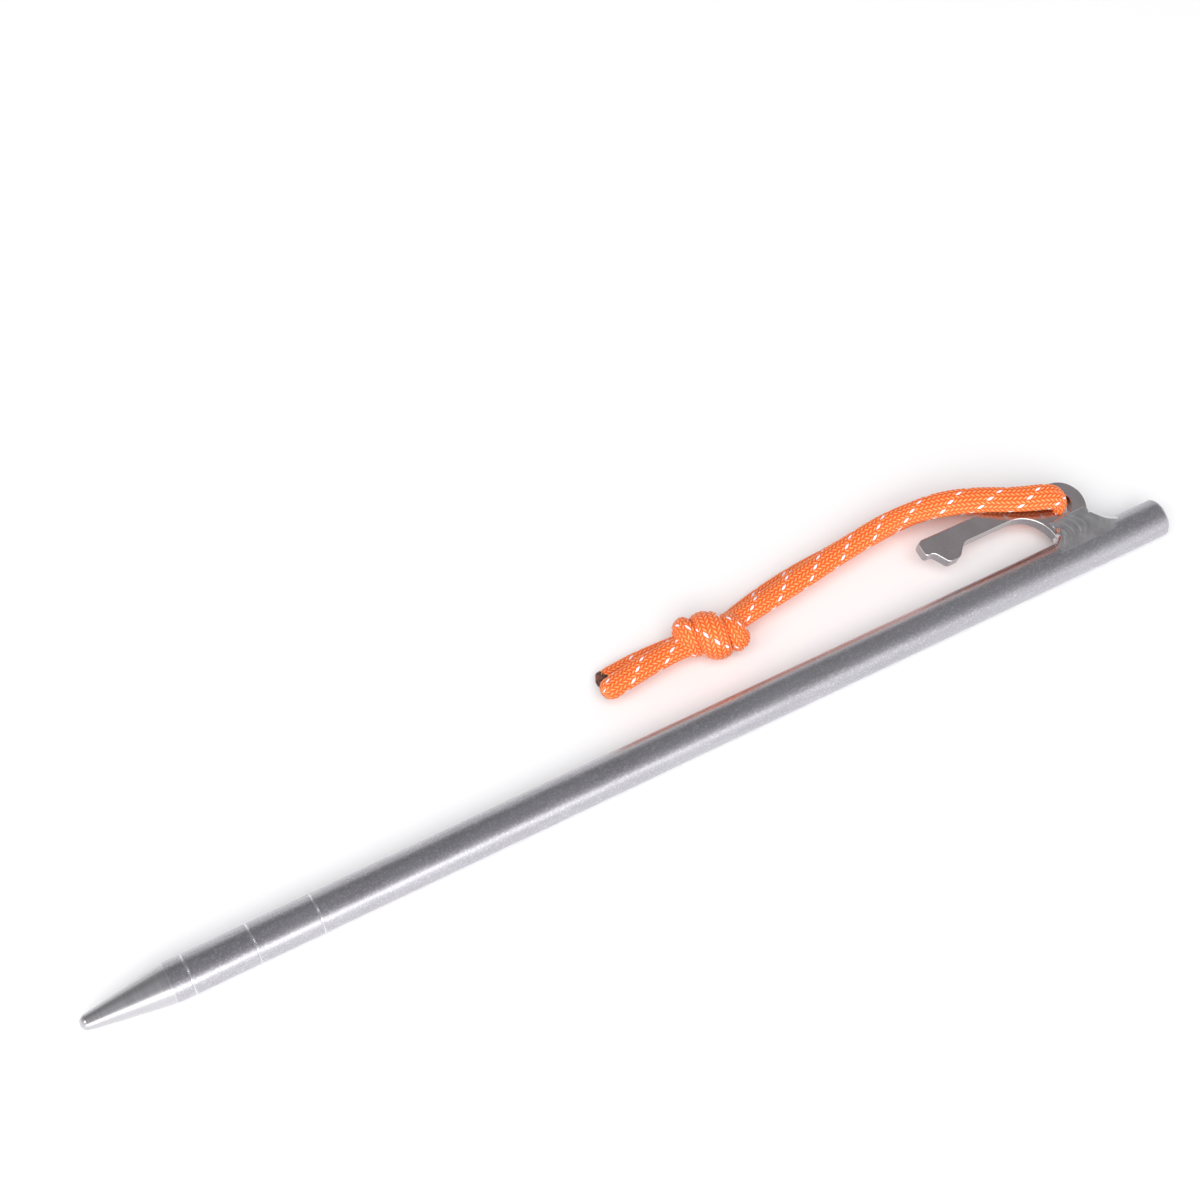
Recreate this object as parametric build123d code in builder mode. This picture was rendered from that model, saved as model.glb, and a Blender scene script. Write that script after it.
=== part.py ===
from build123d import *
import os
from math import atan2, cos, pi, radians, sin, tan

# Hook stake lying on the ground, in millimetres.
# X runs along the shaft with the head at +X, the hook plate stands out towards +Y, and the
# ground is z = 0. The origin is on the ground, below the middle of the metal parts' box.

os.makedirs("parts", exist_ok=True)

# ---- driving dimensions: shaft ----
shaft_length = 240.0
shaft_radius = 4.0
tip_radius = 1.6
cone_length = 17.2
shoulder_radius = 14.0
groove_positions = (21.3, 34.4, 47.4)
groove_tool_radius = 0.3
groove_depth = 0.18
head_chamfer = 0.5

# ---- driving dimensions: hook plate (along the shaft from its tip, out from its axis) ----
plate_thickness = 3.0
plate_tilt = 14.0
plate_edge_break = 0.25
plate_root = 2.5
nose_reach = 189.6
nose_height = 16.4
nose_foot = (189.8, 12.7)
barb_recess = (191.6, 12.9)
barb_land = (193.7, 196.3)
barb_height = 9.65
arm_start = 198.6
arm_height = 12.2
corner_roundings = [1.6, 1.0, 1.2, 0.8, 0.5, 0.8]
slot_end = 216.9
slot_radius = 7.7
eye_centre = (221.35, 10.4)
eye_outer_radius = 5.55
eye_far_side = radians(34)
eye_hole_centre = (221.25, 11.1)
eye_hole_radius = 2.7
heel_reach = 226.3

# ---- driving dimensions: weld ----
weld_start = 215.2
weld_end = 231.4
weld_height = 8.35
weld_rise = 0.12
weld_sagitta = 0.25
weld_toe = (1.3, 3.9)
weld_sweep = 4.8
weld_depth = 4.2
weld_narrows = 227.4
weld_shoulder = (230.3, 3.1)
weld_tail = 1.2
throat_size = 2.2
throat_turn = radians(10)
throat_sagitta = 0.4

# ---- driving dimensions: pull cord ----
cord_diameter = 4.0
knot_centre = (22.8, 12.0, 5.1)
knot_radius = 5.1
knot_length = 15.6
knot_rounding = 3.9
sealed_length = 1.6
sealed_radius = 1.8
bend_share = 0.45

# ---- places ----
axis_y = -6.1
axis_z = shaft_radius
tip_x = -shaft_length / 2
cord_radius = cord_diameter / 2
half_plate = plate_thickness / 2

# Axial plane of the shaft: local x along the shaft from its tip, local y outwards.
axial = Plane(origin=(tip_x, axis_y, axis_z), x_dir=(1, 0, 0), z_dir=(0, 0, 1))
shaft_axis = Axis((tip_x, axis_y, axis_z), (1, 0, 0))
# Mid-plane of the hook plate: the axial plane turned about the shaft's axis.
plate_normal = (0, -sin(radians(plate_tilt)), cos(radians(plate_tilt)))
plate_plane = Plane(origin=(tip_x, axis_y, axis_z), x_dir=(1, 0, 0), z_dir=plate_normal)
# Plane across the shaft: local x out along the plate, local y along the plate's normal.
plate_out = (0, cos(radians(plate_tilt)), sin(radians(plate_tilt)))
across = Plane(origin=(tip_x, axis_y, axis_z), x_dir=plate_out, z_dir=(1, 0, 0))
# Plane along the shaft and square to the plate: local y along the plate's normal.
beside = Plane(origin=(tip_x, axis_y, axis_z), x_dir=(1, 0, 0), z_dir=-Vector(plate_out))


def save(part, name):
    """Label one piece and write its STEP file."""
    part.label = name
    export_step(part, f"parts/{name}.step")


# ---- shaft: turned rod with a ball-ended cone, three depth rings and a chamfered head ----
flank = atan2(shaft_radius - tip_radius, cone_length - tip_radius)
ball_end = (tip_radius - tip_radius * sin(flank), tip_radius * cos(flank))
with BuildPart() as shaft:
    with BuildSketch(axial):
        with BuildLine():
            RadiusArc((0, 0), ball_end, tip_radius)
            FilletPolyline(
                ball_end,
                (cone_length, shaft_radius),
                (shaft_length - head_chamfer, shaft_radius),
                (shaft_length, shaft_radius - head_chamfer),
                (shaft_length, 0),
                radius=[shoulder_radius, 0, 0],
            )
            Line((shaft_length, 0), (0, 0))
        make_face()
    revolve(axis=shaft_axis)
    with BuildSketch(axial):
        for position in groove_positions:
            with Locations((position, shaft_radius - groove_depth + groove_tool_radius)):
                Circle(groove_tool_radius)
    revolve(axis=shaft_axis, mode=Mode.SUBTRACT)
save(shaft.part, "shaft")

# ---- hook plate: eye, arm and barbed nose cut from sheet, coped to the shaft ----
outer_slope = atan2(eye_outer_radius + eye_centre[1] - nose_height, eye_centre[0] - nose_reach)
eye_middle = Vector(*eye_centre)
eye_top = eye_middle + eye_outer_radius * Vector(-sin(outer_slope), cos(outer_slope))
eye_far = eye_middle + eye_outer_radius * Vector(cos(eye_far_side), sin(eye_far_side))
eye_overhang = heel_reach - eye_middle.X
eye_side = Vector(heel_reach, eye_middle.Y - (eye_outer_radius**2 - eye_overhang**2) ** 0.5)
slot_middle = Vector(slot_end - slot_radius, arm_height - slot_radius)
with BuildPart() as hook_plate:
    with BuildSketch(plate_plane):
        with BuildLine():
            Polyline((heel_reach, plate_root), (slot_end, plate_root), (slot_end, slot_middle.Y))
            CenterArc(slot_middle, slot_radius, 0, 90)
            FilletPolyline(
                (slot_middle.X, arm_height),
                (arm_start, arm_height),
                (barb_land[1], barb_height),
                (barb_land[0], barb_height),
                barb_recess,
                nose_foot,
                (nose_reach, nose_height),
                eye_top,
                radius=corner_roundings,
            )
            ThreePointArc(eye_top, eye_far, eye_side)
            Line(eye_side, (heel_reach, plate_root))
        make_face()
        with Locations(eye_hole_centre):
            Circle(eye_hole_radius, mode=Mode.SUBTRACT)
    extrude(amount=half_plate, both=True)
    rims = hook_plate.faces().filter_by(Axis((0, 0, 0), plate_normal)).edges()
    rims = rims.filter_by(lambda edge: plate_plane.to_local_coords(edge.center()).Y > plate_root + 0.1)
    chamfer(rims, plate_edge_break)
    with BuildSketch(across):
        Circle(shaft_radius)
    extrude(amount=shaft_length, mode=Mode.SUBTRACT)
save(hook_plate.part, "hook_plate")

# ---- weld: ground fillets on both faces, behind the heel and in the throat of the slot ----
# Seen square to the plate, the fillets stop at the slot and sweep down behind the heel.
with BuildSketch(plate_plane) as weld_plan:
    with BuildLine():
        Polyline(
            (weld_end, 0),
            (weld_start, 0),
            (weld_start, shaft_radius - 0.8),
            (slot_end + 0.1, shaft_radius + 1.0),
            (slot_end + 0.5, weld_height),
            (weld_end - weld_sweep, weld_height),
        )
        CenterArc((weld_end, weld_height), weld_sweep, 180, 90)
        Line((weld_end, weld_height - weld_sweep), (weld_end, 0))
    make_face()
# Seen along the plate, they narrow to a blunt tail on the shaft.
with BuildSketch(beside) as weld_side:
    with BuildLine():
        Polyline((weld_end, 0), (weld_start, 0), (weld_start, weld_depth), (weld_narrows, weld_depth))
        ThreePointArc((weld_narrows, weld_depth), weld_shoulder, (weld_end, weld_tail))
        Line((weld_end, weld_tail), (weld_end, 0))
    make_face()
    mirror(about=Plane.XZ)

with BuildPart() as weld_upper:
    with BuildSketch(across):
        with BuildLine():
            edge = (weld_height, half_plate + weld_rise)
            SagittaArc(edge, weld_toe, weld_sagitta)
            Polyline(weld_toe, (0, weld_toe[1]), (0, half_plate), (weld_height, half_plate), edge)
        make_face()
    extrude(amount=shaft_length)
    extrude(weld_plan.sketch, amount=shaft_radius * 2, both=True, mode=Mode.INTERSECT)
    extrude(weld_side.sketch, amount=shaft_radius * 4, both=True, mode=Mode.INTERSECT)
    with BuildSketch(across):
        Circle(shaft_radius)
    extrude(amount=shaft_length, mode=Mode.SUBTRACT)
save(weld_upper.part, "weld_upper")

with BuildPart() as weld_lower:
    add(mirror(weld_upper.part, about=plate_plane, mode=Mode.PRIVATE))
save(weld_lower.part, "weld_lower")

with BuildPart() as weld_heel:
    extrude(weld_plan.sketch, amount=half_plate, both=True)
    extrude(weld_side.sketch, amount=shaft_radius * 4, both=True, mode=Mode.INTERSECT)
    with BuildSketch(plate_plane):
        with Locations((heel_reach / 2, 0)):
            Rectangle(heel_reach, 4 * weld_height)
        with Locations(eye_centre):
            Circle(eye_outer_radius)
    extrude(amount=shaft_radius, both=True, mode=Mode.SUBTRACT)
    with BuildSketch(across):
        Circle(shaft_radius)
    extrude(amount=shaft_length, mode=Mode.SUBTRACT)
save(weld_heel.part, "weld_heel")

throat_toe = (slot_end - throat_size, shaft_radius - 0.3)
throat_foot = (slot_end, slot_middle.Y)
throat_wall = slot_middle + slot_radius * Vector(cos(throat_turn / 2), sin(throat_turn / 2))
throat_top = slot_middle + slot_radius * Vector(cos(throat_turn), sin(throat_turn))
with BuildPart() as weld_throat:
    with BuildSketch(plate_plane):
        with BuildLine():
            Polyline(throat_toe, (throat_toe[0], plate_root), (slot_end, plate_root), throat_foot)
            ThreePointArc(throat_foot, throat_wall, throat_top)
            SagittaArc(throat_top, throat_toe, throat_sagitta)
        make_face()
    extrude(amount=half_plate - plate_edge_break, both=True)
    with BuildSketch(across):
        Circle(shaft_radius)
    extrude(amount=shaft_length, mode=Mode.SUBTRACT)
save(weld_throat.part, "weld_throat")

# ---- pull cord: one length threaded through the eye, its halves knotted together ----
# Each half is a route of straight runs, its corners rounded to a share of the shorter run.
upper_route = [
    (101.2, 4.7, 6.8),
    (101.2, 4.7, 11.8),
    (92.0, 6.6, 11.9),
    (84.5, 10.6, 11.4),
    (77.5, 14.0, 9.9),
    (69.0, 15.9, 8.2),
    (59.5, 16.0, 6.9),
    (49.5, 15.3, 6.3),
    (39.5, 14.1, 6.15),
    (29.6, 12.7, 6.1),
]
lower_route = [
    (101.2, 4.7, 6.8),
    (101.2, 4.7, 2.1),
    (93.5, 10.3, 2.1),
    (85.5, 15.6, 2.1),
    (77.0, 18.4, 2.1),
    (67.5, 19.4, 2.1),
    (57.5, 19.0, 2.1),
    (47.5, 18.2, 2.1),
    (38.0, 16.9, 2.1),
    (29.2, 14.4, 2.2),
]
front_tail_route = [(17.0, 12.0, 5.7), (10.5, 12.0, 5.5), (4.5, 11.5, 5.2), (-0.6, 10.6, 4.8)]
back_tail_route = [(17.0, 14.5, 2.3), (11.0, 14.9, 2.1), (5.2, 14.9, 2.1), (0.4, 14.5, 2.1)]


def corner_radii(route):
    """One radius per corner: a share of the shorter run, over the tangent of half the turn."""
    points = [Vector(point) for point in route]
    runs = [after - before for before, after in zip(points, points[1:])]
    shares = [bend_share] * len(runs)
    shares[0] = shares[-1] = 2 * bend_share
    radii = []
    for i in range(len(runs) - 1):
        half_turn = radians(runs[i].get_angle(runs[i + 1])) / 2
        shorter = min(shares[i] * runs[i].length, shares[i + 1] * runs[i + 1].length)
        radii.append(shorter / tan(half_turn))
    return radii


def cord_piece(route, name):
    """Round tube along straight runs joined by tangent arcs."""
    radii = corner_radii(route)
    with BuildPart() as tube:
        with BuildLine() as path:
            FilletPolyline(*route, radius=radii)
        with BuildSketch(Plane(origin=route[0], z_dir=path.line % 0)):
            Circle(cord_radius)
        sweep(path=path.line)
    save(tube.part, name)
    length = path.wire().length
    section_volume = pi * cord_radius**2 * length
    print(name, "length", round(length, 1), "radii", [round(radius, 1) for radius in radii])
    print(name, "volume over section times length", round(tube.part.volume / section_volume, 4))
    return tube.part


def sealed_end(route, name):
    """Melted bead that closes a cut end, round at the rim."""
    last_run = Vector(route[-1]) - Vector(route[-2])
    with BuildPart() as bead:
        with BuildSketch(Plane(origin=route[-1], z_dir=last_run)):
            Circle(sealed_radius)
        extrude(amount=sealed_length)
        fillet(bead.edges().sort_by(Axis(route[-1], tuple(last_run)))[-1], sealed_length / 2)
    save(bead.part, name)
    return bead.part


cord_piece(upper_route, "cord_upper_leg")
cord_piece(lower_route, "cord_lower_leg")
cord_piece(front_tail_route, "cord_front_tail")
cord_piece(back_tail_route, "cord_back_tail")
sealed_end(front_tail_route, "front_sealed_end")
sealed_end(back_tail_route, "back_sealed_end")

# The knot is one closed barrel of its outer size, lying on the ground.
with BuildPart() as cord_knot:
    with BuildSketch(Plane(origin=knot_centre, x_dir=(1, 0, 0), z_dir=(0, 0, 1))):
        Rectangle(knot_length, knot_radius, align=(Align.CENTER, Align.MIN))
    revolve(axis=Axis(knot_centre, (1, 0, 0)))
    fillet(cord_knot.edges().filter_by(GeomType.CIRCLE), knot_rounding)
save(cord_knot.part, "cord_knot")
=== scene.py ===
import math

import bmesh
import bpy
import numpy as np
from mathutils import Matrix, Vector


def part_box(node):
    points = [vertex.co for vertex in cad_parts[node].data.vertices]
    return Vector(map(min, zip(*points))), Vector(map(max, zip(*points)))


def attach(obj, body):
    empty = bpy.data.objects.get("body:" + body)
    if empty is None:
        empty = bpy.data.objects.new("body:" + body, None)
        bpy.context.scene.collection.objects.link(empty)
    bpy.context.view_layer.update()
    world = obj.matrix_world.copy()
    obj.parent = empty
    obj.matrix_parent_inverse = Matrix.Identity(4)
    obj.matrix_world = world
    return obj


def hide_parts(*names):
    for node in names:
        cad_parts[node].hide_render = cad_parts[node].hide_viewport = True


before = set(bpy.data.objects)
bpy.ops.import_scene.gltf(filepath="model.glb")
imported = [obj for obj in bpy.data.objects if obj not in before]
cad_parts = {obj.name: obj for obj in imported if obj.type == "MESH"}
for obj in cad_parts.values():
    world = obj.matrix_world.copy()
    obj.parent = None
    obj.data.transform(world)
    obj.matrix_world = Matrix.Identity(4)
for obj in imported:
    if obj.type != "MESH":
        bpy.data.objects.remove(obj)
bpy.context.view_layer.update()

# Sizes are in millimetres and MM turns them into metres; lights, camera and floor are in metres.
MM = 0.001

# ---- the shaft's own frame: x runs from the point to the head, the axis lies at (AXIS_Y, AXIS_Z) ----
shaft_low, shaft_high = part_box("shaft")
TIP_X = shaft_low.x / MM
SHAFT_LENGTH = (shaft_high.x - shaft_low.x) / MM
AXIS_Y = (shaft_low.y + shaft_high.y) / 2 / MM
SHAFT_RADIUS = round((shaft_high.z - shaft_low.z) / 2 / MM, 1)
AXIS_Z = SHAFT_RADIUS
PLATE_TILT = math.radians(14)
PLATE_OUT = np.array([0.0, math.cos(PLATE_TILT), math.sin(PLATE_TILT)])
PLATE_NORMAL = np.array([0.0, -math.sin(PLATE_TILT), math.cos(PLATE_TILT)])
HALF_PLATE = 1.5

# ---- shaft ----
TIP_RADIUS, CONE_LENGTH, SHOULDER_RADIUS = 1.6, 17.2, 14.0
GROOVES, GROOVE_DEPTH, GROOVE_HALF = (21.3, 34.4, 47.4), 0.16, 0.19
HEAD_CHAMFER = 0.5
SHAFT_SEGMENTS = 160

# ---- pull cord ----
CORD_WIDTH, CORD_THICK = 4.75, 3.35
COLUMNS = 16
STITCH = 1.04
TRACER_EVERY = 8
RELIEF = 0.2
AROUND, STEP = 80, 0.15
# The dome on an end stops just short of its radius, so that the last ring isn't a point.
DOME_RADIUS, END_DOME = 2.0, 1.9
EYE_WIDER = 0.10
TIGHTER_IN_BENDS = 0.9

# The CAD cord's routes, in millimetres, moved by up to 2 mm to where the cord really lies.
UPPER_LEG = [
    (101.2, 4.7, 6.8),
    (102.2, 4.4, 10.8),
    (92.6, 7.7, 11.1),
    (84.9, 12.0, 11.1),
    (77.5, 15.2, 10.1),
    (69.0, 17.2, 8.2),
    (59.5, 16.6, 6.9),
    (49.5, 15.4, 6.3),
    (39.5, 13.9, 6.15),
    (29.9, 12.4, 6.1),
]
LOWER_LEG = [
    (101.2, 4.7, 6.8),
    (100.8, 5.0, 2.1),
    (94.0, 12.8, 2.1),
    (85.5, 17.8, 2.1),
    (77.0, 20.0, 2.1),
    (67.5, 19.9, 2.1),
    (57.5, 18.8, 2.1),
    (47.5, 18.2, 2.1),
    (38.0, 16.9, 2.1),
    (29.2, 14.6, 2.2),
]
FRONT_TAIL = [(16.5, 12.2, 5.6), (10.0, 12.0, 5.4), (3.5, 11.4, 5.1), (-2.7, 10.5, 4.7)]
BACK_TAIL = [(17.0, 14.5, 2.3), (11.0, 14.9, 2.1), (5.2, 14.9, 2.1), (-1.1, 14.4, 2.1)]
LOWER_CORE = [(25.6, 12.7, 3.7), (21.4, 12.9, 3.7)]

KNOT_CENTRE = np.array([22.8, 11.8, 5.6])
KNOT_AXIS = np.array([-1.0, 0.42, -0.03])
KNOT_AXIS /= np.linalg.norm(KNOT_AXIS)
KNOT_UP = np.array([0.0, 0.0, 1.0]) - KNOT_AXIS[2] * KNOT_AXIS
KNOT_UP /= np.linalg.norm(KNOT_UP)
KNOT_NEAR = np.cross(KNOT_UP, KNOT_AXIS)
WRAP_TURNS, WRAP_POINTS = 2.35, 14
WRAP_FROM, WRAP_TO = 6.1, -5.6
WRAP_START = math.radians(138)
# How far out the wrapping strand runs, by its share of the turns: a small lobe, a big one, a small one.
WRAP_SHARES = (0.0, 0.12, 0.32, 0.53, 0.74, 0.95, 1.0)
WRAP_RADII = (2.1, 2.2, 3.0, 3.85, 3.0, 1.8, 1.7)
MIDDLE_LOBE_WIDER = 0.26
KNOT_REACH = 8.5
# How far out from the knot's axis the strand counts as wrapping, and as part of the middle lobe.
WRAPS_BEYOND, LOBE_BEYOND, LOBE_LENGTH = 2.6, 2.4, 1.7
# Heights between which the cord leaves the ground's level for the plate's tilt, and widens over the eye.
TILT_BETWEEN, WIDEN_BETWEEN = (8.5, 10.0), (9.0, 10.0)

# ---- hook plate, in its own plane: along the shaft from the tip, and out from the axis ----
NOSE_TO_ARM = [
    (209.2, 12.2),
    (198.6, 12.2),
    (196.3, 9.65),
    (193.7, 9.65),
    (191.6, 12.9),
    (189.8, 12.7),
    (189.6, 16.4),
]
NOSE_ROUNDINGS = [1.7, 1.5, 1.2, 1.5, 0.8, 1.1]
EYE_CENTRE, EYE_RADIUS = (221.35, 10.4), 5.55
EYE_HOLE, EYE_HOLE_RADIUS = (221.25, 11.1), 2.7
PLATE_ROOT, HEEL = 2.5, 226.3
SLOT_MIDDLE, SLOT_RADIUS = (209.2, 4.5), 7.7
EDGE_BREAK = 0.11

# ---- weld, in the plate's plane: its end and reach, its toe on the shaft and its rise off the plate ----
WELD_END, WELD_HIGH, WELD_TOE, WELD_EDGE = 231.6, 8.35, (1.2, 3.92), 0.07
WELD_SAG, TAIL_DROP, TAIL_FROM = 0.30, 0.9, 227.0
WELD_BEHIND = (HEEL, 227.1, 228.0, 229.3, 231.2, WELD_END)
WELD_REACH = (7.75, 6.6, 5.35, 4.45, 3.75, 3.3)
RIPPLE, FINE_RIPPLE = 0.028, 0.008

# ---- colours of the metals and the cord ----
SHAFT_DARK, SHAFT_LIGHT, SHAFT_SPECK = (0.45, 0.44, 0.47), (0.51, 0.50, 0.53), (0.68, 0.67, 0.70)
# The second colour is ground metal brightened into a painted highlight: the bright line in each groove ring
# and the bright arc where the cone meets the blasted shaft.
CONE_GREY, TURNED_HIGHLIGHT = (0.60, 0.59, 0.61), (0.76, 0.76, 0.78)
PLATE_DARK, PLATE_LIGHT, PLATE_SPECK = (0.60, 0.54, 0.54), (0.66, 0.60, 0.595), (0.69, 0.64, 0.635)
# Painted shade on the plate's sides and in the eye's hole, streaked at random; the last colour is a painted
# highlight on the broken edges.
SIDE_DARK, SIDE_LIGHT, EDGE_HIGHLIGHT = (0.31, 0.29, 0.31), (0.38, 0.36, 0.38), (0.74, 0.72, 0.71)
WELD_DARK, WELD_LIGHT = (0.64, 0.625, 0.63), (0.78, 0.77, 0.78)
# Painted shade and painted light on the braid: the first orange pair darkens the gaps between the stitches,
# the second lights their crowns.
SHADED_ORANGE = ((0.72, 0.068, 0.009), (0.80, 0.088, 0.012))
LIT_ORANGE = ((0.98, 0.175, 0.026), (1.0, 0.215, 0.036))
# GLINT is a painted highlight on the stitches' crowns; FLECK is the white of the reflective strands.
GLINT, FLECK = (1.0, 0.58, 0.24), (0.95, 0.90, 0.93)
MELTED_ORANGE = ((0.9, 0.24, 0.06), (0.55, 0.12, 0.04))
MELTED_BURNT = ((0.20, 0.055, 0.03), (0.035, 0.018, 0.016))


# ======================= meshes =======================
def unit(v):
    """Vectors of length one, along the last axis."""
    return v / np.linalg.norm(v, axis=-1, keepdims=True)


def mesh_object(name, points, faces, uv=None, smooth=True):
    """A mesh object from points in millimetres; uv is one pair per face corner."""
    mesh = bpy.data.meshes.new(name)
    mesh.from_pydata((np.asarray(points) * MM).tolist(), [], faces)
    mesh.polygons.foreach_set("use_smooth", [smooth] * len(mesh.polygons))
    if uv is not None:
        layer = mesh.uv_layers.new(name="braid")
        layer.data.foreach_set("uv", np.asarray(uv, np.float32).ravel())
    mesh.update()
    piece = bpy.data.objects.new(name, mesh)
    bpy.context.scene.collection.objects.link(piece)
    return piece


def ring_faces(rings, around):
    """Quads between closed rings of points, and a fan over each end to one extra point."""
    i = np.arange(rings - 1)[:, None] * around
    k = np.arange(around)[None, :]
    after = (k + 1) % around
    quads = np.stack([i + k, i + after, i + around + after, i + around + k], -1).reshape(-1, 4)
    first, last = rings * around, rings * around + 1
    base = (rings - 1) * around
    caps = [(first, (j + 1) % around, j) for j in range(around)]
    caps += [(last, base + j, base + (j + 1) % around) for j in range(around)]
    return quads.tolist() + caps


# ======================= node helpers =======================
def material(name):
    """A new node material, its tree and its shader."""
    made = bpy.data.materials.new(name)
    made.use_nodes = True
    tree = made.node_tree
    return made, tree, tree.nodes["Principled BSDF"]


def link(tree, source, target):
    tree.links.new(source, target)


def feed(tree, node, socket, value):
    """Links a socket's value to an input, or sets the input to a plain value."""
    if isinstance(value, bpy.types.NodeSocket):
        link(tree, value, node.inputs[socket])
    else:
        node.inputs[socket].default_value = value


def calc(tree, operation, *values):
    """One arithmetic node."""
    node = tree.nodes.new("ShaderNodeMath")
    node.operation = operation
    for i, value in enumerate(values):
        feed(tree, node, i, value)
    return node.outputs[0]


def noise(tree, where, scale, detail=3.0, roughness=0.55):
    """Noise with that many features per metre of the coordinates."""
    node = tree.nodes.new("ShaderNodeTexNoise")
    feed(tree, node, "Vector", where)
    feed(tree, node, "Scale", scale)
    feed(tree, node, "Detail", detail)
    feed(tree, node, "Roughness", roughness)
    return node.outputs["Fac"]


def spread(tree, value, low, high, to_low=0.0, to_high=1.0):
    """Value mapped from low..high to to_low..to_high, smoothly, without going past them."""
    node = tree.nodes.new("ShaderNodeMapRange")
    node.interpolation_type = "SMOOTHSTEP"
    sockets = ("Value", "From Min", "From Max", "To Min", "To Max")
    for socket, number in zip(sockets, (value, low, high, to_low, to_high)):
        feed(tree, node, socket, number)
    return node.outputs[0]


def mix(tree, factor, a, b):
    """Colour a where the factor is 0 and colour b where it is 1."""
    node = tree.nodes.new("ShaderNodeMix")
    node.data_type = "RGBA"
    feed(tree, node, 0, factor)
    for socket, colour in ((6, a), (7, b)):
        feed(tree, node, socket, colour if isinstance(colour, bpy.types.NodeSocket) else (*colour, 1.0))
    return node.outputs[2]


def scaled(tree, where, factors):
    """Coordinates stretched by one factor per axis."""
    node = tree.nodes.new("ShaderNodeVectorMath")
    node.operation = "MULTIPLY"
    feed(tree, node, 0, where)
    feed(tree, node, 1, factors)
    return node.outputs[0]


def bump(tree, height, distance_mm, strength, normal=None):
    """A normal tilted by a height, on top of another one if it is given."""
    node = tree.nodes.new("ShaderNodeBump")
    feed(tree, node, "Height", height)
    node.inputs["Distance"].default_value = distance_mm * MM
    node.inputs["Strength"].default_value = strength
    if normal is not None:
        feed(tree, node, "Normal", normal)
    return node.outputs[0]


def object_place(tree):
    """Object coordinates, and their x, y and z apart, in metres."""
    where = tree.nodes.new("ShaderNodeTexCoord").outputs["Object"]
    apart = tree.nodes.new("ShaderNodeSeparateXYZ")
    feed(tree, apart, 0, where)
    return where, apart.outputs


# ======================= materials =======================
def away_from(tree, x, place):
    """Distance along the shaft from a place given in millimetres from the tip, in metres."""
    return calc(tree, "ABSOLUTE", calc(tree, "SUBTRACT", x, (TIP_X + place) * MM))


def in_grooves(tree, x):
    """1 in the depth rings and 0 elsewhere."""
    ring = None
    for groove in GROOVES:
        here = spread(tree, away_from(tree, x, groove), 0.22 * MM, 0.13 * MM)
        ring = here if ring is None else calc(tree, "MAXIMUM", ring, here)
    return ring


def shaft_colour(tree, cloud, grain, on_cone, step, ring):
    """Grey with paler specks and lighter on the cone, with a painted highlight at the cone's step and in the
    rings, whose metal is ground.
    """
    base = mix(tree, spread(tree, cloud, 0.3, 0.7), SHAFT_DARK, SHAFT_LIGHT)
    base = mix(tree, spread(tree, grain, 0.46, 0.68), base, SHAFT_SPECK)
    base = mix(tree, on_cone, base, CONE_GREY)
    # Painted highlight at the cone's step and in the rings.
    base = mix(tree, step, base, TURNED_HIGHLIGHT)
    return mix(tree, ring, base, TURNED_HIGHLIGHT)


def blasted_titanium():
    """Satin grey shaft: blasted along its length, ground to a shine on the cone and in the rings."""
    made, tree, shader = material("blasted_titanium")
    where, (x, _, _) = object_place(tree)
    grain = noise(tree, where, 2700.0, 4.0, 0.72)
    cloud = noise(tree, scaled(tree, where, (60.0, 260.0, 260.0)), 1.0, 3.0)
    lathe = noise(tree, scaled(tree, where, (3600.0, 40.0, 40.0)), 1.0, 2.0)
    on_cone = spread(tree, x, (TIP_X + CONE_LENGTH + 0.35) * MM, (TIP_X + CONE_LENGTH + 0.15) * MM)
    # Painted highlight: a bright arc where the ground cone meets the blasted shaft, and a bright line in each
    # groove ring.
    step = spread(tree, away_from(tree, x, CONE_LENGTH + 0.3), 0.20 * MM, 0.10 * MM, 0.0, 0.5)
    ring = in_grooves(tree, x)
    ground = calc(tree, "MAXIMUM", on_cone, ring)
    feed(tree, shader, "Base Color", shaft_colour(tree, cloud, grain, on_cone, step, ring))
    shader.inputs["Metallic"].default_value = 1.0
    rough = spread(tree, grain, 0.3, 0.7, 0.30, 0.40)
    rough_cone = spread(tree, lathe, 0.3, 0.7, 0.27, 0.35)
    rough_ground = spread(tree, on_cone, 0.0, 1.0, 0.14, rough_cone)
    feed(tree, shader, "Roughness", spread(tree, ground, 0.0, 1.0, rough, rough_ground))
    # The blasting shows more towards the head; the ground cone is nearly smooth.
    blasted = spread(tree, x, -70.0 * MM, 60.0 * MM, 0.45, 1.0)
    unground = calc(tree, "SUBTRACT", 1.0, ground)
    pits = calc(tree, "MULTIPLY", grain, calc(tree, "MULTIPLY", blasted, unground))
    skin = bump(tree, pits, 0.036, 0.85)
    feed(tree, shader, "Normal", bump(tree, calc(tree, "MULTIPLY", lathe, on_cone), 0.006, 0.5, skin))
    return made


def plate_facing(tree):
    """How squarely a face looks along the plate's normal, 0 to 1."""
    facing = tree.nodes.new("ShaderNodeVectorMath")
    facing.operation = "DOT_PRODUCT"
    geometry = tree.nodes.new("ShaderNodeNewGeometry")
    feed(tree, facing, 0, geometry.outputs["True Normal"])
    feed(tree, facing, 1, tuple(PLATE_NORMAL))
    return calc(tree, "ABSOLUTE", facing.outputs["Value"])


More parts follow.
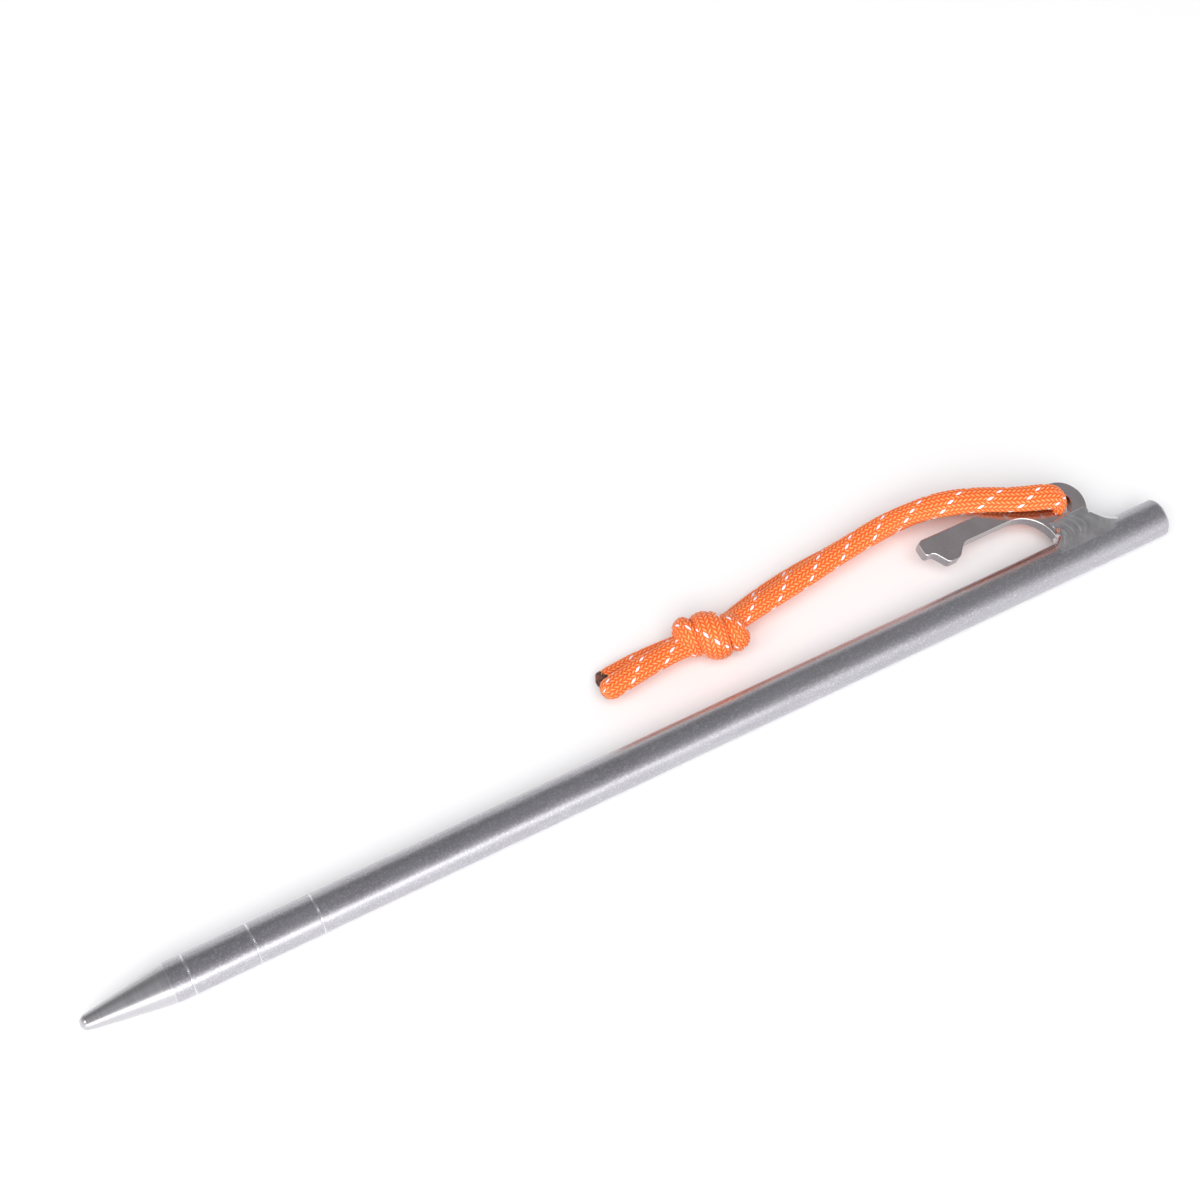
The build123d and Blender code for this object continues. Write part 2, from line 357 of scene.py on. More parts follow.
def plate_titanium():
    """Warm grey rolled sheet with satin faces, painted shade on its sides and a painted highlight on its
    broken edges.
    """
    made, tree, shader = material("plate_titanium")
    where, _ = object_place(tree)
    flat = plate_facing(tree)
    on_face = spread(tree, flat, 0.9, 0.97)
    on_edge = calc(tree, "MULTIPLY", spread(tree, flat, 0.3, 0.5), calc(tree, "SUBTRACT", 1.0, on_face))
    grain = noise(tree, where, 4200.0, 4.0, 0.7)
    rolled = noise(tree, scaled(tree, where, (900.0, 5200.0, 900.0)), 1.0, 3.0)
    cloud = noise(tree, where, 260.0, 2.0)
    base = mix(tree, spread(tree, cloud, 0.3, 0.7), PLATE_DARK, PLATE_LIGHT)
    base = mix(tree, spread(tree, grain, 0.45, 0.75), base, PLATE_SPECK)
    # Painted shade: the sides and the hole's wall are darker than the faces.
    side = mix(tree, spread(tree, rolled, 0.35, 0.65), SIDE_DARK, SIDE_LIGHT)
    base = mix(tree, on_face, side, base)
    # Painted highlight along the broken edges.
    feed(tree, shader, "Base Color", mix(tree, on_edge, base, EDGE_HIGHLIGHT))
    shader.inputs["Metallic"].default_value = 1.0
    rough = spread(tree, grain, 0.25, 0.75, 0.17, 0.23)
    feed(tree, shader, "Roughness", spread(tree, on_edge, 0.0, 1.0, rough, 0.25))
    feed(tree, shader, "Normal", bump(tree, calc(tree, "ADD", grain, rolled), 0.0035, 0.3))
    return made


def ground_weld():
    """Weld metal, ground bright, with a fine satin grain."""
    made, tree, shader = material("ground_weld")
    where, _ = object_place(tree)
    grain = noise(tree, where, 3800.0, 4.0, 0.65)
    cloud = noise(tree, where, 420.0, 3.0)
    feed(tree, shader, "Base Color", mix(tree, spread(tree, cloud, 0.3, 0.7), WELD_DARK, WELD_LIGHT))
    shader.inputs["Metallic"].default_value = 1.0
    feed(tree, shader, "Roughness", spread(tree, grain, 0.25, 0.75, 0.16, 0.24))
    feed(tree, shader, "Normal", bump(tree, grain, 0.004, 0.3))
    return made


def stitches(tree):
    """The braid's pattern from the UVs: column, odd column, number along it, and place in the stitch."""
    uv = tree.nodes.new("ShaderNodeUVMap")
    uv.uv_map = "braid"
    apart = tree.nodes.new("ShaderNodeSeparateXYZ")
    feed(tree, apart, 0, uv.outputs[0])
    around, along = apart.outputs[0], apart.outputs[1]
    column = calc(tree, "FLOOR", around)
    across = calc(tree, "SUBTRACT", calc(tree, "SUBTRACT", around, column), 0.5)
    odd = calc(tree, "MODULO", column, 2.0)
    slant = calc(tree, "MULTIPLY", across, calc(tree, "SUBTRACT", 1.0, calc(tree, "MULTIPLY", odd, 2.0)))
    phase = calc(tree, "SUBTRACT", along, calc(tree, "SUBTRACT", slant, calc(tree, "MULTIPLY", odd, 0.5)))
    number = calc(tree, "FLOOR", calc(tree, "ADD", phase, 0.5))
    return column, odd, number, across, calc(tree, "SUBTRACT", phase, number)


def stitch_height(tree, across, beside):
    """Height of the stitch, 1 along its crown and 0 or less at its rim."""
    crown = calc(tree, "COSINE", calc(tree, "MULTIPLY", beside, math.pi))
    ends = calc(tree, "COSINE", calc(tree, "MULTIPLY", across, math.pi))
    return calc(tree, "MULTIPLY", crown, calc(tree, "SQRT", calc(tree, "MAXIMUM", ends, 0.0)))


def reflective(tree, column, odd, number, across, height):
    """1 on the stitches of the two reflective strands, which show in the even columns only."""
    strand = calc(tree, "FLOORED_MODULO", calc(tree, "SUBTRACT", number, column), TRACER_EVERY)
    even = calc(tree, "SUBTRACT", 1.0, odd)
    tracer = calc(tree, "MULTIPLY", even, calc(tree, "LESS_THAN", strand, 0.5))
    short = spread(tree, calc(tree, "ABSOLUTE", across), 0.5, 0.38)
    return calc(tree, "MULTIPLY", calc(tree, "MULTIPLY", tracer, short), spread(tree, height, 0.12, 0.32))


def filaments(tree, column, number, across, beside):
    """Fine noise that runs along each stitch."""
    yarn = tree.nodes.new("ShaderNodeCombineXYZ")
    feed(tree, yarn, 0, calc(tree, "MULTIPLY", beside, 9.0))
    feed(tree, yarn, 1, calc(tree, "MULTIPLY", across, 2.0))
    feed(tree, yarn, 2, calc(tree, "ADD", number, calc(tree, "MULTIPLY", column, 7.3)))
    return noise(tree, yarn.outputs[0], 1.6, 2.0)


def cord_colour(tree, height, fibre, white):
    """Painted shade in orange between the stitches, painted light along their crowns with a painted highlight
    on them, and white on the reflective ones.
    """
    where, _ = object_place(tree)
    fade = noise(tree, where, 160.0, 2.0)
    # Painted shade between the stitches and painted light on their crowns, each in two tones that change at
    # random.
    shaded, lit = mix(tree, fade, *SHADED_ORANGE), mix(tree, fade, *LIT_ORANGE)
    base = mix(tree, spread(tree, height, 0.10, 0.55), shaded, lit)
    # Painted highlight: a pale glint along the stitches' crowns, stronger on some filaments.
    shine = spread(tree, fibre, 0.30, 0.62, 0.35, 0.85)
    base = mix(tree, calc(tree, "MULTIPLY", spread(tree, height, 0.70, 0.94), shine), base, GLINT)
    return mix(tree, white, base, FLECK)


def orange_cord():
    """Orange braid with a soft sheen and two white reflective strands."""
    made, tree, shader = material("orange_cord")
    column, odd, number, across, beside = stitches(tree)
    height = stitch_height(tree, across, beside)
    white = reflective(tree, column, odd, number, across, height)
    fibre = filaments(tree, column, number, across, beside)
    feed(tree, shader, "Base Color", cord_colour(tree, height, fibre, white))
    feed(tree, shader, "Roughness", spread(tree, white, 0.0, 1.0, 0.45, 0.28))
    shader.inputs["Sheen Weight"].default_value = 0.25
    shader.inputs["Sheen Roughness"].default_value = 0.4
    shader.inputs["Sheen Tint"].default_value = (1.0, 0.75, 0.55, 1.0)
    shader.inputs["Subsurface Weight"].default_value = 0.08
    shader.inputs["Subsurface Radius"].default_value = (0.0012, 0.0004, 0.0002)
    lift = calc(tree, "ADD", calc(tree, "MULTIPLY", height, 0.6), calc(tree, "MULTIPLY", fibre, 0.4))
    feed(tree, shader, "Normal", bump(tree, lift, 0.06, 0.6))
    return made


def melted_cord(name, plain, burnt):
    """Melted fibre: glossy, from the sheath's colour to burnt."""
    made, tree, shader = material(name)
    where, _ = object_place(tree)
    patch = noise(tree, where, 900.0, 4.0, 0.6)
    fine = noise(tree, where, 3000.0, 3.0)
    feed(tree, shader, "Base Color", mix(tree, spread(tree, patch, 0.38, 0.62), plain, burnt))
    feed(tree, shader, "Roughness", spread(tree, fine, 0.3, 0.7, 0.25, 0.55))
    feed(tree, shader, "Normal", bump(tree, calc(tree, "ADD", patch, fine), 0.15, 0.7))
    return made


# ======================= cord =======================
def knot_point(along, radius, turn):
    """Along the knot's axis towards the tails, out from it, and round it from the near side over the top."""
    out = math.cos(turn) * KNOT_NEAR + math.sin(turn) * KNOT_UP
    return tuple(KNOT_CENTRE + along * KNOT_AXIS + radius * out)


def wrap_points():
    """The upper strand's way through the knot: into the core, out at the tails' end, round and back."""
    points = [
        knot_point(-3.6, 1.8, math.radians(150)),
        knot_point(0.6, 0.9, math.radians(120)),
        knot_point(4.2, 1.2, math.radians(253)),
        knot_point(6.0, 1.9, math.radians(178)),
    ]
    count = round(WRAP_TURNS * WRAP_POINTS)
    for i in range(count + 1):
        share = i / count
        turn = WRAP_START - share * WRAP_TURNS * 2 * math.pi
        radius = np.interp(share, WRAP_SHARES, WRAP_RADII)
        points.append(knot_point(WRAP_FROM + share * (WRAP_TO - WRAP_FROM), radius, turn))
    end = WRAP_START - WRAP_TURNS * 2 * math.pi
    return points + [
        knot_point(-6.0, 1.7, end - math.radians(34)),
        knot_point(-4.6, 1.2, end - math.radians(74)),
        knot_point(-0.8, 0.9, math.radians(265)),
        knot_point(3.0, 1.2, math.radians(330)),
    ]


def nurbs_line(points):
    """Points along a quadratic NURBS spline with those control points, STEP apart, in millimetres."""
    curve = bpy.data.curves.new("route", "CURVE")
    curve.dimensions = "3D"
    spline = curve.splines.new("NURBS")
    spline.points.add(len(points) - 1)
    for place, point in zip(points, spline.points):
        point.co = (*(c * MM for c in place), 1.0)
    spline.order_u = 3
    spline.use_endpoint_u = True
    spline.resolution_u = 24
    holder = bpy.data.objects.new("route", curve)
    mesh = bpy.data.meshes.new_from_object(holder)
    line = np.array([v.co for v in mesh.vertices]) / MM
    bpy.data.objects.remove(holder)
    bpy.data.curves.remove(curve)
    bpy.data.meshes.remove(mesh)
    along = np.concatenate([[0], np.cumsum(np.linalg.norm(np.diff(line, axis=0), axis=1))])
    at = np.linspace(0, along[-1], round(along[-1] / STEP) + 1)
    return np.stack([np.interp(at, along, line[:, k]) for k in range(3)], 1), at


def smoothed(values, window):
    """A running mean along the first axis, with the ends held."""
    half = max(1, round(window / STEP / 2))
    padded = np.concatenate([values[:1].repeat(half, 0), values, values[-1:].repeat(half, 0)])
    total = np.cumsum(np.concatenate([padded[:1] * 0, padded]), axis=0)
    return (total[2 * half + 1:] - total[: -2 * half - 1]) / (2 * half + 1)


def share_between(values, low, high):
    """0 up to low, 1 from high on, and an even rise between them."""
    return np.clip((values - low) / (high - low), 0, 1)


def knot_place(line):
    """How far along the knot's axis each point lies, and how far out from it."""
    local = line - KNOT_CENTRE
    axial = local @ KNOT_AXIS
    return axial, np.linalg.norm(local - axial[:, None] * KNOT_AXIS, axis=1)


def carried_along(start, tangent):
    """A direction across the cord that is carried along it without twisting."""
    carried = np.empty_like(tangent)
    carried[0] = unit(start - start @ tangent[0] * tangent[0])
    for i in range(1, len(tangent)):
        step = carried[i - 1] - carried[i - 1] @ tangent[i] * tangent[i]
        carried[i] = step / np.linalg.norm(step)
    return carried


def cord_frames(line):
    """Tangent, width and thickness directions: level where the cord lies, along the knot where it wraps."""
    tangent = unit(smoothed(np.gradient(line, axis=0), 0.6))
    flat = tangent * (1, 1, 0)
    on_plate = share_between(line[:, 2:], *TILT_BETWEEN)
    upright = np.array([0.0, 0.0, 1.0])
    level = np.cross(upright + on_plate * (PLATE_NORMAL - upright), unit(smoothed(flat, 8.0) + 1e-9))
    carried = carried_along(level[0], tangent)
    side = np.cross(tangent, carried)
    axial, radial = knot_place(line)
    inside = np.abs(axial) < KNOT_REACH
    wraps = inside & (radial > WRAPS_BEYOND) & (np.abs(tangent @ KNOT_AXIS) < 0.5)
    wanted = np.where(wraps[:, None], KNOT_AXIS, level)
    angle = np.arctan2((wanted * side).sum(1), (wanted * carried).sum(1))
    # Inside the knot's core the band turns evenly from one known direction to the next.
    known = np.flatnonzero(wraps | ~inside)
    held = np.unwrap(angle[known], period=math.pi)
    turn = smoothed(np.interp(np.arange(len(line)), known, held), 4.0)[:, None]
    width = np.cos(turn) * carried + np.sin(turn) * side
    return tangent, width, np.cross(tangent, width)


def braid_height(around, along):
    """Relief of a herringbone braid, up to 1: columns of stitches that slant to either side by turns."""
    column = np.floor(around)
    across = around - column - 0.5
    odd = column % 2
    phase = along - across * (1 - 2 * odd) + 0.5 * odd
    beside = phase - np.floor(phase + 0.5)
    return np.cos(np.pi * beside) * np.sqrt(np.maximum(np.cos(np.pi * across), 0))


def section_table():
    """Angles that divide the flattened section's outline into equal lengths."""
    fine = np.linspace(0, 2 * math.pi, 2001)
    x, y = CORD_WIDTH / 2 * np.cos(fine), CORD_THICK / 2 * np.sin(fine)
    along = np.concatenate([[0], np.cumsum(np.hypot(np.diff(x), np.diff(y)))])
    return np.interp(np.arange(AROUND) / AROUND * along[-1], along, fine)


def half_sizes(line, at, start_phase):
    """Half width and half thickness along a cord, and the share that its domed end leaves."""
    dome = np.sqrt(np.clip(1 - (np.clip(END_DOME - (at[-1] - at), 0, END_DOME) / DOME_RADIUS) ** 2, 0, 1))
    swell = 1 + 0.03 * np.sin(at / 7.3 + start_phase) + 0.02 * np.sin(at / 3.1)
    axial, radial = knot_place(line)
    in_lobe = np.where(radial > LOBE_BEYOND, np.exp(-((axial / LOBE_LENGTH) ** 2)), 0.0)
    middle = smoothed(in_lobe, 2.0)
    over_eye = smoothed(share_between(line[:, 2], *WIDEN_BETWEEN), 3.0)
    half_width = CORD_WIDTH / 2 * dome * swell * (1 + MIDDLE_LOBE_WIDER * middle + EYE_WIDER * over_eye)
    return half_width, CORD_THICK / 2 * dome * (2 - swell), dome


def stitch_marks(tangent):
    """Stitches counted along a cord; more of them fit into a bend."""
    bend = smoothed(np.linalg.norm(np.gradient(tangent, axis=0), axis=1) / STEP, 2.5)
    return np.cumsum(STEP * (1 + TIGHTER_IN_BENDS * bend * CORD_THICK / 2)) / STITCH


def braid_uv(marks):
    """One UV pair per face corner of a braided tube: columns round it and stitches along it."""
    rows = len(marks) - 1
    step_uv = COLUMNS / AROUND
    i = np.repeat(np.arange(rows), AROUND)
    k = np.tile(np.arange(AROUND), rows)
    low, high = marks[i], marks[i + 1]
    left, right = COLUMNS - k * step_uv, COLUMNS - (k + 1) * step_uv
    corners = [(left, low), (right, low), (right, high), (left, high)]
    sides = np.stack([np.stack(c, 1) for c in corners], 1).reshape(-1, 2)
    end_corners = 2 * AROUND * 3
    return np.concatenate([sides, np.zeros((end_corners, 2))])


def braided(name, points, start_phase):
    """A flattened braided tube along a route, with its end domed, and the line that it follows."""
    line, at = nurbs_line(points)
    tangent, width, thick = cord_frames(line)
    half_w, half_t, dome = half_sizes(line, at, start_phase)
    marks = stitch_marks(tangent)
    angle = section_table()
    cos, sin = np.cos(angle), np.sin(angle)
    outward = unit(np.stack([cos / CORD_WIDTH, sin / CORD_THICK], 1))
    around = COLUMNS - np.arange(AROUND) / AROUND * COLUMNS
    rise = (braid_height(around[None], marks[:, None]) - 0.5) * RELIEF * dome[:, None]
    u = half_w[:, None] * cos + rise * outward[:, 0]
    v = half_t[:, None] * sin + rise * outward[:, 1]
    rings = line[:, None] + u[..., None] * width[:, None] + v[..., None] * thick[:, None]
    places = np.concatenate([rings.reshape(-1, 3), line[:1], line[-1:]])
    return mesh_object(name, places, ring_faces(len(line), AROUND), braid_uv(marks)), line


def melted_bead(name, line, length, squash):
    """A lumpy melted cap over a strand's end."""
    end, back = line[-1], line[-round(1.5 / STEP)]
    axis = unit(end - back)
    side = unit(np.cross(axis, (0, 0, 1)))
    up = np.cross(axis, side)
    rings, around, overlap = 24, 48, 0.9
    depth = np.linspace(0, 1, rings)[:, None]
    turn = np.linspace(0, 2 * math.pi, around, endpoint=False)[None]
    body = np.sqrt(np.clip(1 - depth**2, 0.0004, 1))
    lump = 1 + 0.07 * np.sin(3 * turn + 4 * depth) + 0.05 * np.sin(7 * turn - 5 * depth + 1)
    lump += 0.03 * np.sin(13 * turn)
    u = CORD_WIDTH / 2 * squash[0] * body * lump * np.cos(turn)
    v = CORD_THICK / 2 * squash[1] * body * lump * np.sin(turn)
    reach = (depth * length - overlap) * (1 + 0.08 * np.sin(5 * turn))
    reach -= 0.35 * (1 - depth) * (1 + np.sin(4 * turn + 2))
    rings_at = end + u[..., None] * side + v[..., None] * up + reach[..., None] * axis
    tips = [end - 1.4 * axis, end + (length - overlap) * axis]
    places = np.concatenate([rings_at.reshape(-1, 3), tips])
    return mesh_object(name, places, ring_faces(rings, around))


# ======================= shaft =======================
def shaft_profile():
    """Distance from the tip and radius, along the whole outline."""
    flank = math.atan2(SHAFT_RADIUS - TIP_RADIUS, CONE_LENGTH - TIP_RADIUS)
    turn = np.linspace(0, math.pi / 2 - flank, 24)
    profile = [(TIP_RADIUS * (1 - math.cos(a)), TIP_RADIUS * math.sin(a)) for a in turn[1:]]
    start = profile[-1]
    slope = (SHAFT_RADIUS - start[1]) / (CONE_LENGTH - start[0])
    tangent_length = SHOULDER_RADIUS * math.tan(math.atan(slope) / 2)
    bend_from = CONE_LENGTH - tangent_length * math.cos(math.atan(slope))
    for x in np.linspace(start[0], bend_from, 40)[1:]:
        profile.append((x, start[1] + slope * (x - start[0])))
    bend_to = CONE_LENGTH + tangent_length
    for x in np.linspace(bend_from, bend_to, 12)[1:]:
        drop = SHOULDER_RADIUS - math.sqrt(SHOULDER_RADIUS**2 - (bend_to - x) ** 2)
        profile.append((x, SHAFT_RADIUS - drop))
    for groove in GROOVES:
        for share in np.linspace(-1, 1, 13):
            dip = GROOVE_DEPTH * (1 - share**2)
            profile.append((groove + share * GROOVE_HALF, SHAFT_RADIUS - dip))
    land = [groove + side * away for groove in GROOVES for side in (-1, 1) for away in (0.34, 0.5, 1.2, 4.0)]
    profile += [(x, SHAFT_RADIUS) for x in land if x > bend_to]
    profile += [(x, SHAFT_RADIUS) for x in np.arange(52.0, SHAFT_LENGTH - 2, 4.0)]
    profile.sort()
    rim, face = SHAFT_LENGTH - HEAD_CHAMFER, SHAFT_RADIUS - HEAD_CHAMFER
    profile += [(rim - 0.4, SHAFT_RADIUS), (rim - 0.12, SHAFT_RADIUS), (rim, SHAFT_RADIUS - 0.04)]
    profile += [(SHAFT_LENGTH - 0.05, face), (SHAFT_LENGTH, face - 0.1)]
    profile += [(SHAFT_LENGTH, r) for r in (3.2, 2.4, 1.2)]
    return np.array(profile)


def turned_shaft():
    """The shaft's profile turned round its axis."""
    profile = shaft_profile()
    turn = np.linspace(0, 2 * math.pi, SHAFT_SEGMENTS, endpoint=False)
    x = np.broadcast_to(TIP_X + profile[:, :1], (len(profile), SHAFT_SEGMENTS))
    y = AXIS_Y + profile[:, 1:] * np.cos(turn)
    z = AXIS_Z + profile[:, 1:] * np.sin(turn)
    ends = [(TIP_X, AXIS_Y, AXIS_Z), (TIP_X + SHAFT_LENGTH, AXIS_Y, AXIS_Z)]
    places = np.concatenate([np.stack([x, y, z], -1).reshape(-1, 3), ends])
    return mesh_object("turned_shaft", places, ring_faces(len(profile), SHAFT_SEGMENTS))


# ======================= hook plate =======================
def rounded(points, radii, steps=10):
    """The polyline with each inner corner turned into an arc of its radius."""
    made = [np.array(points[0])]
    for before, corner, after, radius in zip(points, points[1:], points[2:], radii):
        corner = np.array(corner)
        back, on = unit(np.array(before) - corner), unit(np.array(after) - corner)
        half = math.acos(float(np.clip(back @ on, -1, 1))) / 2
        start, end = corner + back * radius / math.tan(half), corner + on * radius / math.tan(half)
        for t in np.linspace(0, 1, steps):
            weights = np.array([(1 - t) ** 2, 2 * math.sin(half) * t * (1 - t), t**2])
            made.append((weights[:, None] * (start, corner, end)).sum(0) / weights.sum())
    return made + [np.array(points[-1])]


def arc(centre, radius, start, end, steps):
    """Points round an arc, from one angle to the other."""
    turns = np.linspace(start, end, steps)
    return [np.array(centre) + radius * np.array([math.cos(a), math.sin(a)]) for a in turns]


def plate_outline():
    """Round the plate: root, slot, arm, barb and nose, then over the eye and down the heel."""
    slot = arc(SLOT_MIDDLE, SLOT_RADIUS, 0, math.pi / 2, 40)
    eye_top = (EYE_CENTRE[0], EYE_CENTRE[1] + EYE_RADIUS)
    nose = rounded(NOSE_TO_ARM + [eye_top], NOSE_ROUNDINGS)
    overhang = math.acos((HEEL - EYE_CENTRE[0]) / EYE_RADIUS)
    eye = arc(EYE_CENTRE, EYE_RADIUS, math.pi / 2, -overhang, 40)
    root = [np.array([HEEL, PLATE_ROOT]), np.array([SLOT_MIDDLE[0] + SLOT_RADIUS, PLATE_ROOT])]
    return root + slot + nose[1:-1] + eye


def cut_plate():
    """The plate as a filled outline with the eye's hole, given its thickness and its broken edges."""
    curve = bpy.data.curves.new("outline", "CURVE")
    curve.dimensions, curve.fill_mode = "2D", "BOTH"
    curve.extrude = (HALF_PLATE - EDGE_BREAK) * MM
    curve.bevel_depth, curve.bevel_resolution = EDGE_BREAK * MM, 0
    curve.offset = -EDGE_BREAK * MM
    for loop in (plate_outline(), arc(EYE_HOLE, EYE_HOLE_RADIUS, 0, 2 * math.pi, 65)[:-1]):
        spline = curve.splines.new("POLY")
        spline.points.add(len(loop) - 1)
        for place, point in zip(loop, spline.points):
            point.co = (place[0] * MM, place[1] * MM, 0.0, 1.0)
        spline.use_cyclic_u = True
    holder = bpy.data.objects.new("outline", curve)
    mesh = bpy.data.meshes.new_from_object(holder)
    bpy.data.objects.remove(holder)
    bpy.data.curves.remove(curve)
    turn = Matrix(((1, 0, 0), PLATE_OUT.tolist(), PLATE_NORMAL.tolist())).transposed().to_4x4()
    mesh.transform(Matrix.Translation(Vector((TIP_X, AXIS_Y, AXIS_Z)) * MM) @ turn)
    piece = bpy.data.objects.new("cut_plate", mesh)
    bpy.context.scene.collection.objects.link(piece)
    tidy_mesh(piece)
    mesh.set_sharp_from_angle(angle=math.radians(30))
    return piece


# ======================= weld =======================
def eased(share):
    """Smooth step from 0 to 1."""
    share = np.clip(share, 0, 1)
    return share * share * (3 - 2 * share)


def weld_left(v):
    """Where the weld starts: forward on the shaft, down the slot's end wall, back on the plate."""
    wall = SLOT_MIDDLE[0] + np.sqrt(SLOT_RADIUS**2 - np.maximum(v - SLOT_MIDDLE[1], 0) ** 2)
    return wall - 0.05 - 2.6 * (1 - eased((v - 2.2) / 2.6)) + 0.75 * eased((v - 4.9) / 2.2)


def weld_nose(v):
    """How long the rounding at the weld's front is: soft on the shaft, tighter on the plate."""
    return 0.9 - 0.5 * eased((v - 3.8) / 1.8)


def weld_outline(u):
    """How far out from the axis the weld reaches in the plate's plane."""
    before = np.interp(u, (217.5, 222.0, HEEL), (WELD_HIGH, 8.45, WELD_REACH[0]))
    return np.where(u < HEEL, before, np.interp(u, WELD_BEHIND, WELD_REACH))


def up_the_ramp(v):
    """0 at the weld's outer edge on the plate and 1 at its toe on the shaft."""
    return np.clip((WELD_HIGH - v) / (WELD_HIGH - WELD_TOE[0]), 0, 1)


def weld_crest(u, v):
    """Height over the plate's mid-plane: a concave ramp from the plate's face up to the shaft's flank."""
    share = up_the_ramp(v)
    foot = HALF_PLATE + WELD_EDGE
    ramp = foot + share * (WELD_TOE[1] - foot) - WELD_SAG * np.sin(math.pi * share)
    tail = np.clip((u - TAIL_FROM) / (WELD_END - TAIL_FROM), 0, 1)
    ramp = ramp - TAIL_DROP * tail**1.6 * (1 - 0.6 * share)
    fall = np.clip((weld_outline(u) - v) / 1.5, 0, 1)
    return ramp * np.where(u > HEEL - 0.4, np.sqrt(1 - (1 - fall) ** 2), 1)


def weld_ripple(u, v, behind_start):
    """Crescents across the weld, dying out towards its edges and behind the plate."""
    share = up_the_ramp(v)
    bulge = u + 0.20 * (v - 5.2) ** 2
    phase = 2 * math.pi * bulge / 1.7 + 0.9 * np.sin(1.1 * bulge) + 0.6 * np.sin(0.9 * v)
    ripple = RIPPLE * np.sin(phase) + FINE_RIPPLE * np.sin(2 * math.pi * bulge / 0.83 + 1.3 * v)
    ripple *= 1 - 0.7 * eased((u - 221.0) / 5.0)
    edges = np.clip(share / 0.12, 0, 1) * np.clip((1 - share) / 0.2, 0, 1)
    return ripple * edges * np.clip(behind_start / 1.2, 0, 1)


def weld_height(u, v):
    """Half thickness of the weld: out of the shaft, rounded at its front and flush there with the plate."""
    behind_start = u - weld_left(v)
    top = weld_crest(u, v) + weld_ripple(u, v, behind_start)
    flush = HALF_PLATE + 0.03
    on_plate = eased((v - 5.0) / 2.6)
    top = top + on_plate * (1 - eased(behind_start / 2.2)) * (np.minimum(top, flush) - top)
    share = np.clip(behind_start / weld_nose(v), 0, 1)
    clear_of_shaft = np.clip((v - SHAFT_RADIUS + 0.8) / 0.8, 0, 1)
    blunt = np.sqrt(1 - (1 - share) ** 2)
    rise = eased(share) + clear_of_shaft * (blunt - eased(share))
    sunk = np.maximum(np.sqrt(np.maximum(SHAFT_RADIUS**2 - v**2, 0)) - 0.06, 0)
    return sunk + rise * (np.maximum(top, 0) - sunk)


def weld_grid():
    """Places along and out from the shaft: close together round the weld's nose, even behind it."""
    out = np.arange(0.6, 8.9, 0.11)
    start = weld_left(out)[None]
    nose_end = start + weld_nose(out)[None]
    nose = 1 - np.cos(np.linspace(0, math.pi / 2, 12))[:, None]
    behind = np.linspace(0, 1, 160)[1:, None]
    u = np.concatenate([start + nose * (nose_end - start), nose_end + behind * (WELD_END + 0.2 - nose_end)])
    return u, np.broadcast_to(out[None], u.shape)


def closed_height(u, v):
    """The weld's half thickness, brought to nothing past its outline and round the grid's border."""
    past_outline = (v > weld_outline(u) + 0.02) & (u > HEEL - 0.4)
    h = np.where(past_outline, 0.0, np.maximum(weld_height(u, v), 0.0))
    h[0] = 0
    h[-1] = 0
    h[:, 0] = 0
    h[:, -1] = 0
    inside_plate = (v > WELD_HIGH) & (u <= HEEL - 0.4)
    return np.where(inside_plate, np.minimum(h, HALF_PLATE - 0.1), h)


def weld_bead():
    """One closed body: the upper and lower fillets, the heel and the throat."""
    u, v = weld_grid()
    h = closed_height(u, v)
    flat = np.stack([TIP_X + u, AXIS_Y + v * PLATE_OUT[1], AXIS_Z + v * PLATE_OUT[2]], -1)
    upper = flat + h[..., None] * PLATE_NORMAL
    lower = flat - h[..., None] * PLATE_NORMAL
    rows, columns = u.shape
    faces = []
    for i in range(rows - 1):
        for j in range(columns - 1):
            if h[i:i + 2, j:j + 2].any():
                first = i * columns + j
                quad = [first, first + columns, first + columns + 1, first + 1]
                faces.append(quad)
                faces.append([rows * columns + n for n in reversed(quad)])
    places = np.concatenate([upper.reshape(-1, 3), lower.reshape(-1, 3)])
    return tidy_mesh(mesh_object("ground_weld_bead", places, faces))


def tidy_mesh(piece):
    """Joins points that meet, drops unused ones, turns the normals outwards and shades the faces smooth."""
    bm = bmesh.new()
    bm.from_mesh(piece.data)
    bmesh.ops.remove_doubles(bm, verts=bm.verts, dist=0.002 * MM)
    loose = [v for v in bm.verts if not v.link_faces]
    bmesh.ops.delete(bm, geom=loose, context="VERTS")
    bmesh.ops.recalc_face_normals(bm, faces=bm.faces)
    bm.to_mesh(piece.data)
    bm.free()
    piece.data.polygons.foreach_set("use_smooth", [True] * len(piece.data.polygons))
    return piece


# ======================= stage =======================
CAMERA_PLACE = (-0.1224, -0.2100, 0.41453)
CAMERA_VIEW, CAMERA_RIGHT = (0.2636, 0.48808, -0.83204), (0.87988, -0.47519, 0.0)
CAMERA_LENS, CAMERA_SENSOR = 72.715, 36.0
FLOOR_SIZE = 6.0


def camera():
    """The camera, looking down on the stake from the point's side."""
    data = bpy.data.cameras.new("camera")
    data.lens, data.sensor_width = CAMERA_LENS, CAMERA_SENSOR
    data.clip_start, data.clip_end = 0.02, 20.0
    view = Vector(CAMERA_VIEW).normalized()
    right = Vector(CAMERA_RIGHT).normalized()
    up = right.cross(view)
    place = bpy.data.objects.new("camera", data)
    place.matrix_world = Matrix((right, up, -view)).transposed().to_4x4()
    place.location = CAMERA_PLACE
    bpy.context.scene.collection.objects.link(place)
    bpy.context.scene.camera = place


